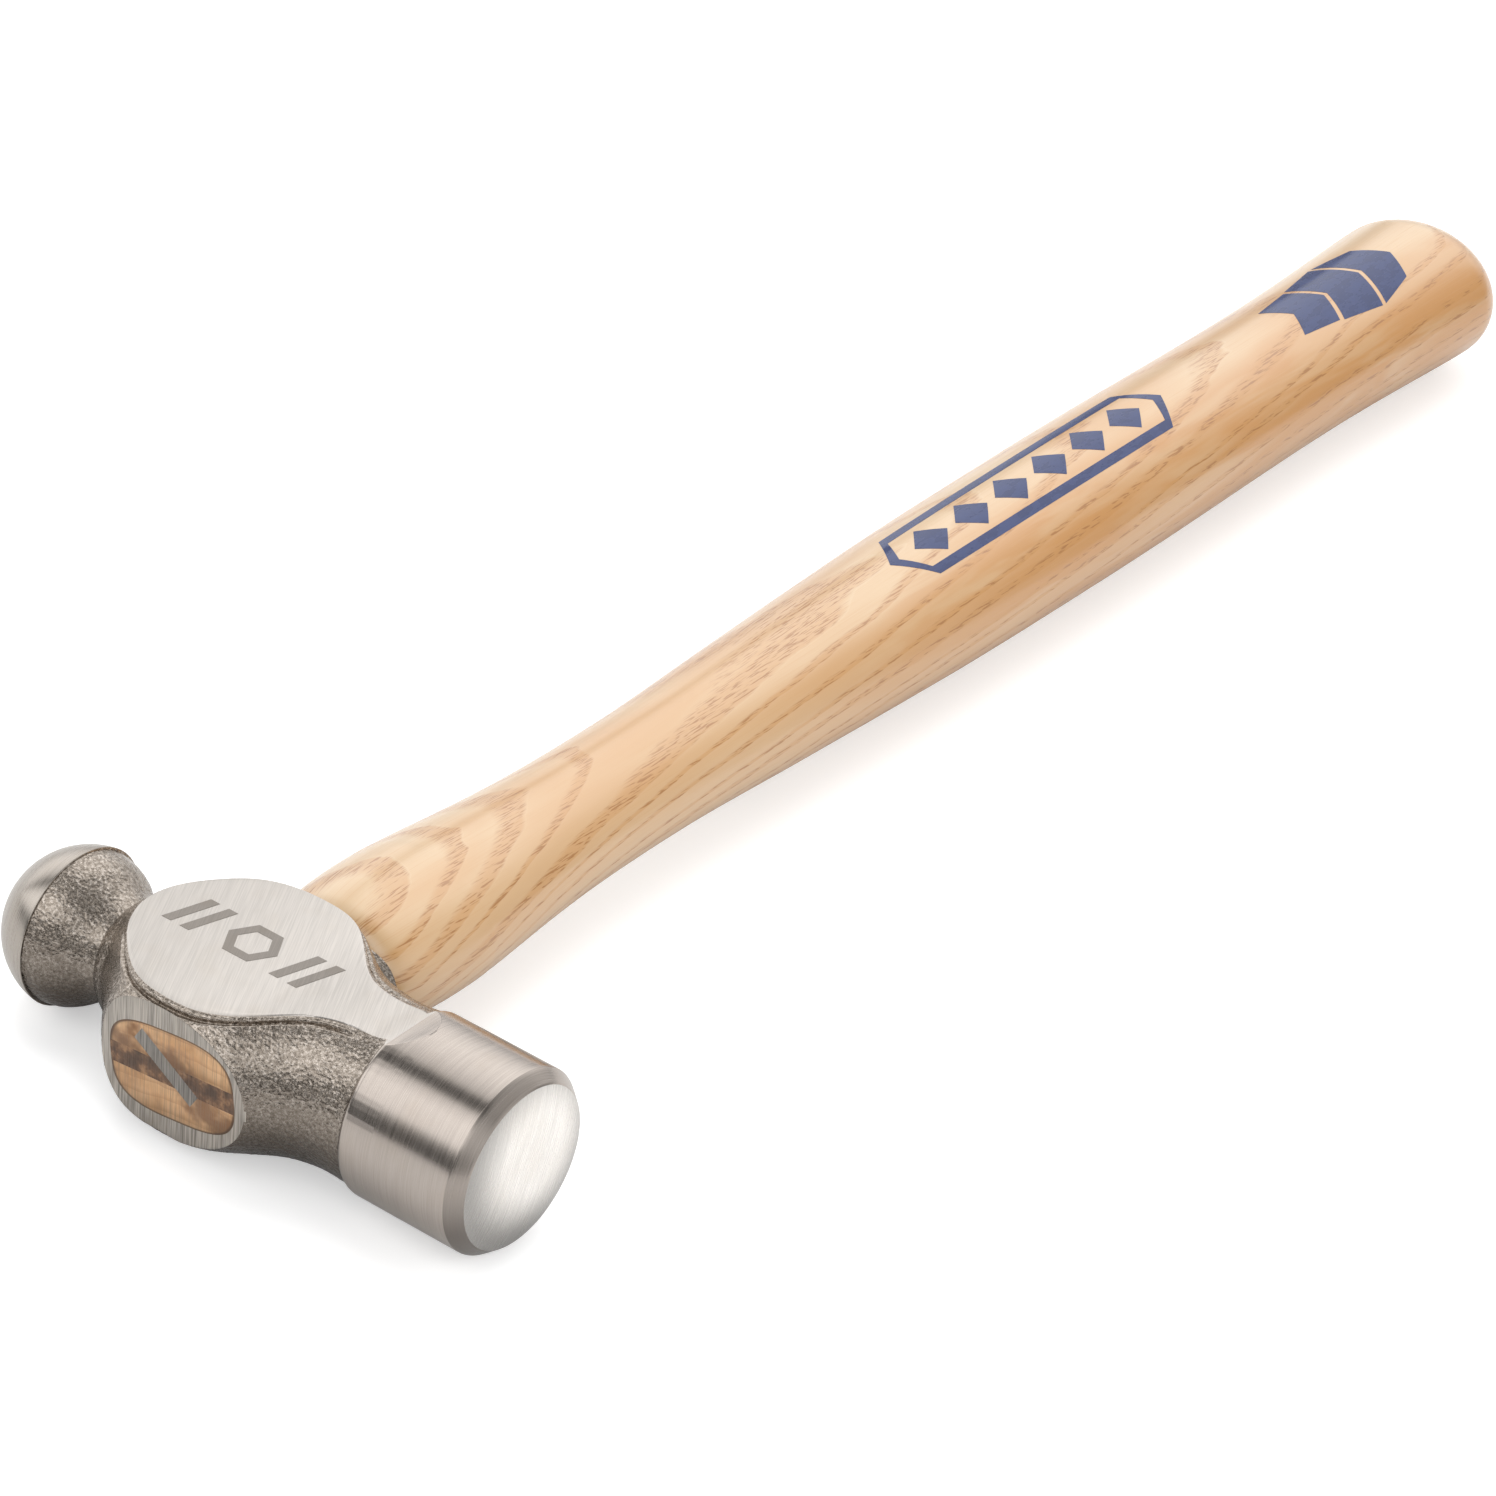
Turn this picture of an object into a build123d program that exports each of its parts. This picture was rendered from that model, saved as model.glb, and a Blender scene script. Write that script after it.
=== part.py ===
from build123d import *
import os
from math import copysign, cos, pi, radians, sin, sqrt

os.makedirs("parts", exist_ok=True)

# Ball-peen hammer, millimetres.
# X runs along the head: the flat striking face is at +X, the ball at -X.
# Y runs along the handle: the ground eye face is at -Y, the butt at +Y.
# Z runs up through the cheeks. The origin is the centre of the lower cheek flat.

# ---- driving dimensions -------------------------------------------------------

cheek_half = 12.4  # head axis to a cheek flat, the head is 24.8 thick
eye_half = 18.6  # head axis to the ground eye face, measured along the handle

poll_radius = 15.0
poll_start = 29.5  # X where the ground poll begins
poll_end = 50.0  # X where its face bevel begins
bevel_end = 52.2  # X where the bevel meets the face
face_radius = 13.2
face_crown = 1.2  # the striking face bulges this far, most of it near its rim
face_roll = [(52.86, 10.5), (53.27, 7.0)]  # X and radius of two points on the bulge
poll_round = 1.2  # rounded back edge of the poll

cheek_start = -23.0  # X where a cheek flat begins, at the neck behind the ball
cheek_level_end = 8.0  # X where it stops being level
cheek_rise = [(16.0, 12.7), (24.0, 13.2), (29.5, 13.65)]  # X and height above the head axis
cheek_runout = (34.5, 15.1)  # the same where it ends on the poll

ball_radius = 13.3
ball_x = -32.9  # X of the ball's centre
ring_x = -34.7  # X where the ground ball ends in a sharp ring
ring_step = 0.45  # the forged back of the ball starts this far inside the ring
ball_back = [(-31.2, 11.9), (-28.0, 9.8)]  # X and radius of the forged back of the ball

neck_x = -24.6  # X of the thinnest place between ball and eye
neck_radius = 8.2
neck_overlap = (0.4, 2.4)  # the bulb starts this far inside the ball's neck, and the other way round
neck_taper = 1.2  # both lose this much radius in that overlap

eye_mouth = (12.2, 7.7)  # half length and half width of the eye at its ground face
eye_mouth_x = 1.2  # X of its middle there
eye_mouth_turn = 7.0  # degrees its length is turned up from the head there
eye_waist = (11.9, 7.2)  # the same at its narrowest place
eye_waist_x = 0.6
eye_waist_turn = 3.5
eye_waist_y = 3.0
eye_fullness = 3.2  # of mouth and waist (2 is an ellipse, more is boxier)
eye_steps = 32  # points round one of them
eye_foot = (12.7, 7.9)  # the ellipse where the handle enters, centred on the handle

wedge_depth = 30.0  # wooden wedge and its saw kerf, measured from the eye face
wedge_head = 3.6  # its thickness at the eye face
wedge_tip = 0.8
wedge_turn = 5.0  # degrees between the wooden wedge and the head

strip_length = 13.2  # steel wedge, seen on the eye face
strip_head = 2.7
strip_tip = 0.5
strip_depth = 17.0
strip_turn = 32.0  # degrees between the steel wedge and the head
strip_rise = 1.1  # its middle is this far above the head axis

butt_y = 351.0
butt_dome = 13.5  # length of the domed end
butt_half = (17.5, 13.6)
dome_steps = (0.0, 0.3, 0.5, 0.7, 0.85, 0.95)  # shares of the dome where a section is drawn

bulb_overlap = 0.9  # the forged bulb reaches this far into the poll
outline_steps = 14  # points round one half of a bulb section
beyond = 40.0  # longer than the head is deep, for the trimming cuts

# Forged bulb round the eye, from the thin neck behind the ball to the back of the poll.
# Each section: X, half height along Z, half width to the eye face side, half width to the
# handle side, and the fullness of the handle side (2 is an ellipse, more is boxier).
bulb_start = neck_radius - neck_taper
bulb_sections = [
    (neck_x - neck_overlap[0], bulb_start, bulb_start, bulb_start, 2.0),
    (-21.5, 11.6, 9.9, 10.1, 2.0),
    (-18.5, 15.0, 12.3, 12.7, 2.1),
    (-15.5, 17.0, 15.6, 15.6, 2.25),
    (-12.5, 17.6, 18.9, 18.0, 2.45),
    (-9.0, 17.9, 21.8, 19.5, 2.6),
    (-5.0, 18.2, 23.2, 20.1, 2.7),
    (-1.0, 18.2, 23.6, 20.2, 2.75),
    (3.0, 17.6, 23.8, 19.7, 2.95),
    (7.0, 16.2, 23.6, 18.2, 3.25),
    (11.0, 14.8, 22.0, 15.9, 3.1),
    (15.0, 14.0, 18.8, 14.7, 2.5),
    (19.0, 13.85, 15.8, 14.2, 2.15),
    (23.0, 13.95, 14.5, 14.1, 2.0),
    (27.0, 14.15, 14.2, 14.15, 2.0),
    (poll_start + bulb_overlap, 14.3, 14.3, 14.3, 2.0),
]

# Handle below the head: Y, half width along X and half thickness along Z.
handle_sections = [
    (21.0, 13.8, 9.5),
    (25.0, 14.5, 10.6),
    (31.0, 14.8, 11.1),
    (38.0, 14.75, 11.15),
    (46.0, 14.1, 10.8),
    (56.0, 13.1, 10.25),
    (70.0, 12.2, 9.75),
    (84.0, 11.95, 9.65),
    (98.0, 12.1, 9.8),
    (116.0, 12.95, 10.5),
    (140.0, 14.0, 11.4),
    (168.0, 15.1, 12.3),
    (200.0, 15.65, 12.8),
    (232.0, 15.85, 12.95),
    (264.0, 15.6, 12.7),
    (292.0, 15.65, 12.65),
    (312.0, 16.3, 13.0),
    (326.0, 17.0, 13.4),
    (butt_y - butt_dome, *butt_half),
]

# ---- planes -------------------------------------------------------------------

head_axis = Axis((0, 0, cheek_half), (1, 0, 0))
side_plane = Plane(origin=(0, 0, cheek_half), x_dir=(1, 0, 0), z_dir=(0, -1, 0))


def across_head(x):
    """Plane square to the head's axis, its own x along Y and its own y along Z."""
    return Plane(origin=(x, 0, cheek_half), x_dir=(0, 1, 0), z_dir=(1, 0, 0))


def across_handle(y):
    """Plane square to the handle, its own x along X and its own y along -Z."""
    return Plane(origin=(0, y, cheek_half), x_dir=(1, 0, 0), z_dir=(0, 1, 0))


def on_eye_face(x, rise, turn):
    """Plane on the ground eye face, turned in it by so many degrees."""
    return Plane(
        origin=(x, -eye_half, cheek_half + rise),
        x_dir=(cos(radians(turn)), 0, sin(radians(turn))),
        z_dir=(0, -1, 0),
    )


def half_outline(half_y, half_z, fullness):
    """Points from the top of a bulb section round one side to its bottom."""
    outline = []
    for step in range(outline_steps + 1):
        turn = pi * step / outline_steps
        y = half_y * sin(turn) ** (2 / fullness)
        z = copysign(half_z * abs(cos(turn)) ** (2 / fullness), cos(turn))
        outline.append((y, z))
    return outline


def full_oval(half_x, half_z):
    """Points round a section of the eye that is fuller than an ellipse."""
    outline = []
    for step in range(eye_steps):
        turn = 2 * pi * step / eye_steps
        x = copysign(half_x * abs(cos(turn)) ** (2 / eye_fullness), cos(turn))
        z = copysign(half_z * abs(sin(turn)) ** (2 / eye_fullness), sin(turn))
        outline.append((x, z))
    return outline


def tapered_blade(face, length, head, tip, depth):
    """Blade that narrows from its head on the given face down to its tip."""
    with BuildPart() as blade:
        with BuildSketch(face):
            Rectangle(length, head)
        with BuildSketch(face.offset(-depth)):
            Rectangle(length, tip)
        loft()
    return blade.part


# ---- the eye and the two wedge shapes, shared by several pieces -----------------

eye_sections = [
    (-eye_half, eye_mouth, eye_mouth_x, eye_mouth_turn),
    (eye_waist_y, eye_waist, eye_waist_x, eye_waist_turn),
]

with BuildPart() as eye_core:
    for y, half_size, middle_x, turn in eye_sections:
        with BuildSketch(across_handle(y)):
            with BuildLine(Location((middle_x, 0), -turn)):
                Spline(*full_oval(*half_size), periodic=True)
            make_face()
    with BuildSketch(across_handle(eye_half)):
        Ellipse(*eye_foot)
    loft()

kerf_face = on_eye_face(eye_mouth_x, 0, wedge_turn)
kerf_blade = tapered_blade(kerf_face, 4 * eye_mouth[0], wedge_head, wedge_tip, wedge_depth)

strip_face = on_eye_face(0, strip_rise, -strip_turn)
strip_blade = tapered_blade(strip_face, strip_length, strip_head, strip_tip, strip_depth)

# ---- hammer head: one steel forging ---------------------------------------------

ring_radius = sqrt(ball_radius**2 - (ring_x - ball_x) ** 2)
ball_tip = (ball_x - ball_radius, 0)
flank_start = (ring_x, ring_radius - ring_step)
neck_edge = (neck_x, neck_radius)
neck_end = (neck_x + neck_overlap[1], neck_radius - neck_taper)
face_tip = (bevel_end + face_crown, 0)
face_rim = (bevel_end, face_radius)

with BuildPart() as hammer_head:
    # Ball, the forged back of the ball, and its thin neck.
    with BuildSketch(side_plane):
        with BuildLine():
            ball_arc = RadiusArc(ball_tip, (ring_x, ring_radius), ball_radius)
            Line(ball_arc @ 1, flank_start)
            Spline(flank_start, *ball_back, neck_edge, tangents=[(1, -0.1), (1, -0.25)])
            Polyline(neck_edge, neck_end, (neck_end[0], 0), ball_tip)
        make_face()
    revolve(axis=head_axis)

    # Poll with its bevelled, crowned face.
    with BuildSketch(side_plane):
        with BuildLine():
            back = Line((poll_start, 0), (poll_start, poll_radius - poll_round))
            shoulder = RadiusArc(back @ 1, (poll_start + poll_round, poll_radius), poll_round)
            Line(shoulder @ 1, (poll_end, poll_radius))
            Line((poll_end, poll_radius), face_rim)
            Spline(face_rim, *face_roll, face_tip, tangents=[(0.32, -1), (0, -1)])
            Line(face_tip, back @ 0)
        make_face()
    revolve(axis=head_axis)

    # Forged bulb round the eye.
    for x, half_z, front, rear, fullness in bulb_sections:
        with BuildSketch(across_head(x)):
            with BuildLine():
                Spline(*half_outline(-front, half_z, 2.0), tangents=[(-1, 0), (1, 0)])
                Spline(*half_outline(rear, half_z, fullness), tangents=[(1, 0), (-1, 0)])
            make_face()
    loft()

    # Ground cheek flats. Each rises a little along the neck and runs out on the poll.
    with BuildSketch(side_plane):
        with BuildLine():
            flat = Line((cheek_start, cheek_half), (cheek_level_end, cheek_half))
            rise = Spline(flat @ 1, *cheek_rise, cheek_runout, tangents=[(1, 0), (1, 0.4)])
            Polyline(rise @ 1, (cheek_runout[0], beyond), (cheek_start, beyond), flat @ 0)
        make_face()
        mirror(about=Plane.XZ, mode=Mode.ADD)
    extrude(amount=beyond, both=True, mode=Mode.SUBTRACT)

    # The ground face round the eye, and the forged face where the handle enters.
    trim_y = eye_half + beyond / 2
    with Locations((0, -trim_y, cheek_half), (0, trim_y, cheek_half)):
        Box(2 * beyond, beyond, 2 * beyond, mode=Mode.SUBTRACT)

    add(eye_core.part, mode=Mode.SUBTRACT)

hammer_head.part.label = "hammer_head"

# ---- steel wedge: a thin strip driven across the wooden one -----------------------

with BuildPart() as steel_wedge:
    add(strip_blade)

steel_wedge.part.label = "steel_wedge"

# ---- wooden wedge: fills the saw kerf, trimmed to the eye -------------------------

with BuildPart() as wooden_wedge:
    add(kerf_blade)
    add(eye_core.part, mode=Mode.INTERSECT)
    add(strip_blade, mode=Mode.SUBTRACT)

wooden_wedge.part.label = "wooden_wedge"

# ---- handle: one piece of ash -----------------------------------------------------

with BuildPart() as handle:
    # Shaft from the shoulder under the head to the start of the domed butt.
    with BuildSketch(across_handle(eye_half)):
        Ellipse(*eye_foot)
    for y, half_x, half_z in handle_sections:
        with BuildSketch(across_handle(y)):
            Ellipse(half_x, half_z)
    loft()

    # Domed butt with a small sanded flat.
    for share in dome_steps:
        shrink = sqrt(1 - share**2)
        with BuildSketch(across_handle(butt_y - butt_dome * (1 - share))):
            Ellipse(butt_half[0] * shrink, butt_half[1] * shrink)
    loft()

    # Tongue that fills the eye, sawn for the wedges.
    add(eye_core.part)
    add(kerf_blade, mode=Mode.SUBTRACT)
    add(strip_blade, mode=Mode.SUBTRACT)

handle.part.label = "handle"

# ---- one file per piece -------------------------------------------------------------

export_step(hammer_head.part, "parts/hammer_head.step")
export_step(handle.part, "parts/handle.step")
export_step(wooden_wedge.part, "parts/wooden_wedge.step")
export_step(steel_wedge.part, "parts/steel_wedge.step")
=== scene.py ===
import math

import bmesh
import bpy
import numpy as np
from mathutils import Matrix, Vector, noise
from mathutils.bvhtree import BVHTree


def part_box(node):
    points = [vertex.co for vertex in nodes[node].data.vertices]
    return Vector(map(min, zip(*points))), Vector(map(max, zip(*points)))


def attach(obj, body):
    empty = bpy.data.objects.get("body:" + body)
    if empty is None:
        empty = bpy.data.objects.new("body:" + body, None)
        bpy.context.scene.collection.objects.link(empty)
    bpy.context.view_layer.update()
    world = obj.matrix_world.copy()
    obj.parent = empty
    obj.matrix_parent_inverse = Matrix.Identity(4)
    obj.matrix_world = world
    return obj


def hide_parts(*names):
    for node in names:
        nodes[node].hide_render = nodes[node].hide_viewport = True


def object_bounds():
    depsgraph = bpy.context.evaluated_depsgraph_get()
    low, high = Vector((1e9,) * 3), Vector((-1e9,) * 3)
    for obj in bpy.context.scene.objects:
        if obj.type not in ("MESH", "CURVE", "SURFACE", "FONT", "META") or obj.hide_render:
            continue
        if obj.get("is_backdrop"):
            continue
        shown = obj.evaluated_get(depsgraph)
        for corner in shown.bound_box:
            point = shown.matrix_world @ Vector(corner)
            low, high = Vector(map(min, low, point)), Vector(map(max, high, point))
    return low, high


# Ball-peen hammer, in the CAD frame: X along the head with the striking face at +X, Y along the
# handle with the butt at +Y, Z up through the cheeks. Lengths in the script are millimetres.

MM = 0.001

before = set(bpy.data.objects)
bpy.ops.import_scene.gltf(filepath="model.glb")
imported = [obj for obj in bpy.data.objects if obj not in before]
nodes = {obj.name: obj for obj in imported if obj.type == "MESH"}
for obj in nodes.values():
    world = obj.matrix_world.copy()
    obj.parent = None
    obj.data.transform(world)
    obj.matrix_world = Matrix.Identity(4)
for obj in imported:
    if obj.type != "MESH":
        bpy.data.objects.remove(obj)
cad_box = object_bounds()

# ---- sizes read from the frame, and the few that it doesn't say ------------------------------

head_low, head_high = (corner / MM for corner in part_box("hammer_head"))
handle_low, handle_high = (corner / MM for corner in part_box("handle"))

axis_z = (head_low.z + head_high.z) / 2
poll_radius = (head_high.z - head_low.z) / 2
eye_half = -head_low.y
butt_y = handle_high.y

ball_tip_x = head_low.x
face_tip_x = head_high.x
ball_radius = 13.3
ball_x = ball_tip_x + ball_radius
ring_x = ball_x - 1.8  # the sharp ring where the ground ball ends
poll_start = 29.5  # X where the ground poll begins
poll_round = 1.2  # its rounded back edge
tongue_start = poll_start + 0.8  # the cheek flat runs out on the poll between these two
tongue_end = 35.6
poll_end = face_tip_x - 3.4
face_crown = 1.2  # the striking face bulges this far,
crown_power = 3.5  # as this power of the radius
bevel_end = face_tip_x - face_crown
face_radius = 13.2

eye_mouth = (12.2, 7.7)  # half length and half width of the eye at its ground face
eye_mouth_x = 1.2
eye_mouth_turn = 7.0  # degrees its length is turned up from the head there
eye_waist = (11.9, 7.2)
eye_waist_x = 0.6
eye_waist_turn = 3.5
eye_waist_y = 3.0
eye_foot = (12.7, 7.9)  # an ellipse, where the handle enters
eye_fullness = 3.2  # of mouth and waist: 2 is an ellipse, more is boxier
eye_columns = 128

cheek_span = (-20.9, 34.3)  # X from and to which the two cheek flats exist,
eye_face_span = (-12.9, 15.3)  # the ground eye face,
rear_face_span = (-12.0, 6.5)  # and the trimmed face on the handle's side


def smooth(value, low, high):
    """0 below low, 1 above high, with an even turn between them."""
    share = min(max((value - low) / (high - low), 0.0), 1.0)
    return share * share * (3 - 2 * share)


def finer_at_ends(count, pull=0.6):
    """Shares from 0 to 1 that crowd together at both ends."""
    shares = np.linspace(0, 1, count, endpoint=False)
    return (1 - pull) * shares + pull * (0.5 - 0.5 * np.cos(np.pi * shares))


def new_object(name, points, faces, materials, face_materials=None):
    """Mesh object from points in millimetres, smooth shaded."""
    mesh = bpy.data.meshes.new(name)
    mesh.from_pydata([tuple(p) for p in np.asarray(points) * MM], [], faces)
    for material in materials:
        mesh.materials.append(material)
    if face_materials is not None:
        mesh.polygons.foreach_set("material_index", face_materials)
    mesh.polygons.foreach_set("use_smooth", [True] * len(mesh.polygons))
    mesh.update()
    made = bpy.data.objects.new(name, mesh)
    bpy.context.scene.collection.objects.link(made)
    return made


# ---- node graphs ------------------------------------------------------------------------------


class Graph:
    """A material's or a world's node graph, written as function calls on sockets and plain numbers."""

    def __init__(self, owner, shader="Principled BSDF"):
        owner.use_nodes = True
        self.owner = owner
        self.tree = owner.node_tree
        self.shader = self.tree.nodes[shader]

    def node(self, kind, inputs=(), out=0, **settings):
        made = self.tree.nodes.new(kind)
        for key, value in settings.items():
            setattr(made, key, value)
        for key, value in dict(inputs).items():
            self.put(made.inputs[key], value)
        return made.outputs[out]

    def put(self, socket, value):
        if isinstance(value, bpy.types.NodeSocket):
            self.tree.links.new(value, socket)
        elif value is not None:
            socket.default_value = value

    def set(self, **sockets):
        for name, value in sockets.items():
            self.put(self.shader.inputs[name.replace("_", " ")], value)

    def math(self, operation, a, b=None):
        return self.node("ShaderNodeMath", {0: a, 1: b}, operation=operation)

    def add(self, a, b):
        return self.math("ADD", a, b)

    def sub(self, a, b):
        return self.math("SUBTRACT", a, b)

    def mul(self, a, b):
        return self.math("MULTIPLY", a, b)

    def size(self, a):
        return self.math("ABSOLUTE", a)

    def place(self):
        """The surface point in millimetres, as x, y and z above the head's axis."""
        point = self.node("ShaderNodeTexCoord", out=3)
        point = self.node("ShaderNodeVectorMath", {0: point, "Scale": 1 / MM}, operation="SCALE")
        split = self.tree.nodes.new("ShaderNodeSeparateXYZ")
        self.put(split.inputs[0], point)
        x, y, z = split.outputs
        return x, y, self.sub(z, axis_z)

    def vector(self, x, y, z):
        return self.node("ShaderNodeCombineXYZ", {0: x, 1: y, 2: z})

    def grainwise(self, x, y, z, across, along):
        """A point for a pattern drawn out along the handle: turns per mm across it and along it."""
        return self.vector(self.mul(x, across), self.mul(y, along), self.mul(z, across))

    def noise(self, vector, scale=1.0, detail=2.0, roughness=0.5, distortion=0.0):
        inputs = {
            "Vector": vector,
            "Scale": scale,
            "Detail": detail,
            "Roughness": roughness,
            "Distortion": distortion,
        }
        return self.node("ShaderNodeTexNoise", inputs)

    def spread(self, value, low, high, new_low=0.0, new_high=1.0):
        """new_low below low, new_high above high, with an even turn between them."""
        inputs = {0: value, 1: low, 2: high, 3: new_low, 4: new_high}
        return self.node("ShaderNodeMapRange", inputs, interpolation_type="SMOOTHSTEP", clamp=True)

    def ramp(self, value, stops):
        made = self.tree.nodes.new("ShaderNodeValToRGB")
        elements = made.color_ramp.elements
        while len(elements) < len(stops):
            elements.new(0.5)
        for element, (position, colour) in zip(elements, stops):
            element.position = position
            element.color = (*colour, 1.0)
        self.put(made.inputs[0], value)
        return made.outputs[0]

    def mix(self, share, a, b):
        """Colour a, with this share of colour b."""
        made = self.tree.nodes.new("ShaderNodeMix")
        made.data_type = "RGBA"
        self.put(made.inputs[0], share)
        self.put(made.inputs[6], (*a, 1.0) if isinstance(a, tuple) else a)
        self.put(made.inputs[7], (*b, 1.0) if isinstance(b, tuple) else b)
        return made.outputs[2]

    def bump(self, height, distance, strength):
        inputs = {"Height": height, "Distance": distance * MM, "Strength": strength}
        return self.node("ShaderNodeBump", inputs)


# ---- steel --------------------------------------------------------------------------------------


def turned(graph, a, b, degrees):
    """Two coordinates turned in their plane."""
    c, s = math.cos(math.radians(degrees)), math.sin(math.radians(degrees))
    along = graph.add(graph.mul(a, c), graph.mul(b, s))
    across = graph.sub(graph.mul(b, c), graph.mul(a, s))
    return along, across


scratch_length = 0.09  # turns per mm of the fine scratches' pattern, along them
broad_length = 0.07
broad_share = 0.25
# Painted shade: where edge() asks, brushed steel is darkened towards this share of its tone.
painted_shade_share = 0.4  # the tone at an edge is this much of the tone elsewhere


def brushed(name, tone, rough, lines, strength, tarnish=0.12, contrast=0.08, pitch=6.0, edge=None):
    """Ground steel. lines(graph, x, y, z) gives the two coordinates along and across its scratches,
    pitch their turns per mm across, edge(graph, x, y, z) how much painted shade darkens it somewhere."""
    graph = Graph(bpy.data.materials.new(name))
    x, y, z = graph.place()
    along, across = lines(graph, x, y, z)
    thin = graph.vector(graph.mul(along, scratch_length), graph.mul(across, pitch), 0.0)
    wide = graph.vector(graph.mul(along, broad_length), graph.mul(across, pitch / 5), 3.1)
    fine = graph.noise(thin, 1.0, 3.0, 0.6)
    broad = graph.noise(wide, 1.0, 2.0, 0.5)
    scratch = graph.add(graph.mul(fine, 1 - broad_share), graph.mul(broad, broad_share))
    cloud = graph.noise(graph.vector(x, y, z), 0.16, 3.0, 0.55)
    light = tuple(c * (1 + contrast) for c in tone)
    dark = tuple(c * (1 - 1.6 * contrast) for c in tone)
    colour = graph.mix(graph.spread(scratch, 0.35, 0.65), dark, light)
    warm = (tone[0] * 0.86, tone[1] * 0.80, tone[2] * 0.72)
    colour = graph.mix(graph.spread(cloud, 0.45, 0.8, 0.0, tarnish * 3), colour, warm)
    # Painted shade: the tone is darkened where edge() asks, in place of shade and dark reflections.
    if edge:
        colour = graph.mix(edge(graph, x, y, z), colour, tuple(c * painted_shade_share for c in tone))
    graph.set(Base_Color=colour, Metallic=1.0)
    graph.set(Roughness=graph.spread(scratch, 0.3, 0.7, rough * 0.86, rough * 1.16))
    graph.set(Normal=graph.bump(scratch, 0.02, strength))
    return graph.owner


def forged_steel():
    """Dark shot-blasted forging skin: coarse grain with small bright facets and brown-grey shadows,
    with painted shade darkening it towards the bottom.
    """
    graph = Graph(bpy.data.materials.new("forged_steel"))
    x, y, z = graph.place()
    point = graph.vector(x, y, z)
    hollow, level, facet = (0.19, 0.160, 0.133), (0.32, 0.277, 0.235), (0.58, 0.520, 0.465)
    stain, shade = (0.24, 0.200, 0.165), (0.080, 0.064, 0.051)
    coarse = graph.noise(point, 1.9, 2.0, 0.55)
    grain = graph.node(
        "ShaderNodeTexVoronoi", {"Vector": point, "Scale": 2.1, "Randomness": 1.0}, feature="SMOOTH_F1"
    )
    fine = graph.noise(point, 5.0, 2.0, 0.6)
    cloud = graph.noise(point, 0.13, 3.0, 0.5)
    speckle = graph.add(graph.mul(coarse, 0.55), graph.mul(fine, 0.45))
    colour = graph.ramp(speckle, [(0.38, hollow), (0.5, level), (0.63, facet)])
    colour = graph.mix(graph.spread(cloud, 0.4, 0.7, 0.0, 0.25), colour, stain)
    # Painted shade: the skin is darker towards the bottom of the head.
    colour = graph.mix(graph.spread(z, -9.0, 10.0, 0.88, 0.0), colour, shade)
    height = graph.add(graph.mul(grain, -0.8), graph.add(graph.mul(fine, 0.22), graph.mul(coarse, 0.9)))
    graph.set(Base_Color=colour, Metallic=0.95)
    graph.set(Roughness=graph.spread(fine, 0.3, 0.7, 0.20, 0.30))
    graph.set(Normal=graph.bump(height, 0.12, 0.8))
    return graph.owner


def cheek_lines(graph, x, y, z):
    """Straight scratches, slanted across the head."""
    return turned(graph, x, y, -62)


def cheek_painted_shade(graph, x, y, z):
    """Painted shade: the cheeks are darkened towards the ball, brightest beside the poll."""
    return graph.spread(x, -22.0, tongue_start, 0.24, 0.02)


def poll_lines(graph, x, y, z):
    """Scratches run round the poll, so they are long in the angle and thin along X."""
    return graph.mul(graph.math("ARCTAN2", y, z), poll_radius), x


def bevel_painted_shade(graph, x, y, z):
    """Painted shade: the bevel round the striking face is darker below."""
    return graph.spread(z, -6.0, 11.0, 0.85, 0.0)


def face_lines(graph, x, y, z):
    """Straight scratches, slanted across the striking face."""
    return turned(graph, y, z, 68)


def eye_face_lines(graph, x, y, z):
    """Scratches of the belt run up the eye face."""
    return z, x


def face_painted_shade(graph, x, y, z):
    """Painted shade on the striking face: 0 on a spot off its centre, rising where it rolls to the
    bevel.
    """
    # Centre of the spot that the painted shade leaves bright.
    unshaded_y, unshaded_z = 1.6, 2.4
    side, up = graph.sub(y, unshaded_y), graph.sub(z, unshaded_z)
    radius = graph.math("SQRT", graph.add(graph.mul(side, side), graph.mul(up, up)))
    return graph.spread(radius, face_radius - 7.5, face_radius + 1.6)


cheek_tone = (0.60, 0.562, 0.524)
poll_tone = (0.45, 0.40, 0.36)
face_tone = (0.93, 0.895, 0.85)
ball_tone = (0.42, 0.38, 0.34)
eye_face_tone = (0.42, 0.385, 0.345)

# The cheeks, the striking face and the bevel get painted shade through edge.
on_cheeks = dict(tarnish=0.08, pitch=5.0, edge=cheek_painted_shade)
on_poll = dict(tarnish=0.08, contrast=0.07)
on_face = dict(tarnish=0.06, contrast=0.07, pitch=3.5, edge=face_painted_shade)
head_materials = [
    forged_steel(),
    brushed("cheek_steel", cheek_tone, 0.33, cheek_lines, 0.3, **on_cheeks),
    brushed("poll_steel", poll_tone, 0.20, poll_lines, 0.2, **on_poll),
    brushed("face_steel", face_tone, 0.26, face_lines, 0.5, **on_face),
    brushed("ball_steel", ball_tone, 0.27, poll_lines, 0.25),
    brushed("eye_face_steel", eye_face_tone, 0.42, eye_face_lines, 0.9, contrast=0.28, pitch=3.2),
    # The poll's steel, with painted shade on the lower bevel.
    brushed("bevel_steel", poll_tone, 0.24, poll_lines, 0.25, edge=bevel_painted_shade, **on_poll),
]
FORGED, CHEEK, POLL, FACE, BALL, EYE_FACE, BEVEL = range(len(head_materials))

# ---- the head's skin: rings along X, each with columns that follow its sharp edges -------------

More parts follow.
